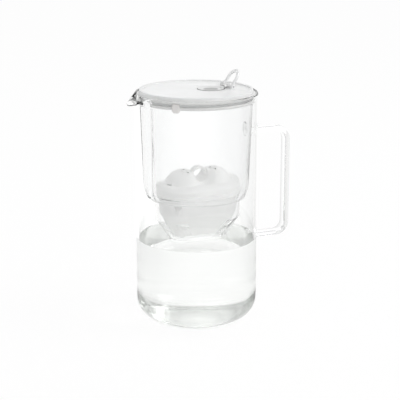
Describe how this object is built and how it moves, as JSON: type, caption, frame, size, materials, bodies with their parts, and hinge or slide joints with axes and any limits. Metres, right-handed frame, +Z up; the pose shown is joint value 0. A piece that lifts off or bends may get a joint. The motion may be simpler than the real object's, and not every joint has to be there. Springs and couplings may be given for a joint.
{
  "type": "water filter pitcher",
  "caption": "Straight glass pitcher with pulled spout and bar handle, hanging clear hopper, oval filter cartridge, and frosted plug lid with a thumb-lifted fill flap.",
  "frame": {"origin": "centre of the flat underside of the glass, on the table", "axes": "+Z up along the jug's axis, +X towards the handle, the spout points to -X"},
  "size_m": [0.1805, 0.125, 0.2594],
  "materials": {
    "glass": "clear polished borosilicate",
    "clear_plastic": "clear, polished",
    "silicone": "translucent pale grey silicone",
    "tab_silicone": "warm off-white silicone",
    "white_plastic": "white, satin moulded",
    "screen": "fine woven mesh",
    "carbon": "black granules",
    "resin": "amber beads",
    "frosted_plastic": "frosted translucent",
    "steel": "ground pin"
  },
  "bodies": {
    "jug": {"glass_body": "glass", "glass_handle": "glass"},
    "hopper": {"hopper": "clear_plastic", "hopper_ring": "silicone", "locating_tab": "tab_silicone"},
    "cartridge": {"cartridge_seal": "silicone", "cartridge_cup": "white_plastic", "cartridge_cap": "white_plastic", "pull_loop": "white_plastic", "top_screen": "screen", "carbon_bed": "carbon", "middle_screen": "screen", "resin_bed": "resin", "bottom_screen": "screen"},
    "lid": {"lid_plate": "frosted_plastic", "lid_seal": "silicone", "hinge_pin": "steel"},
    "flap": {"fill_flap": "frosted_plastic", "flap_seal": "silicone", "thumb_loop": "frosted_plastic"}
  },
  "joints": [
    {"name": "hopper_lift", "type": "slide", "parent": "jug", "child": "hopper", "axis": [0, 0, 1], "range_m": [0, 0.16]},
    {"name": "cartridge_lift", "type": "slide", "parent": "hopper", "child": "cartridge", "axis": [0, 0, 1], "range_m": [0, 0.06]},
    {"name": "lid_lift", "type": "slide", "parent": "hopper", "child": "lid", "axis": [0, 0, 1], "range_m": [0, 0.08]},
    {"name": "flap_hinge", "type": "hinge", "parent": "lid", "child": "flap", "pos_m": [0.035, 0, 0.2431], "axis": [0, 1, 0], "range_deg": [0, 52]}
  ]
}
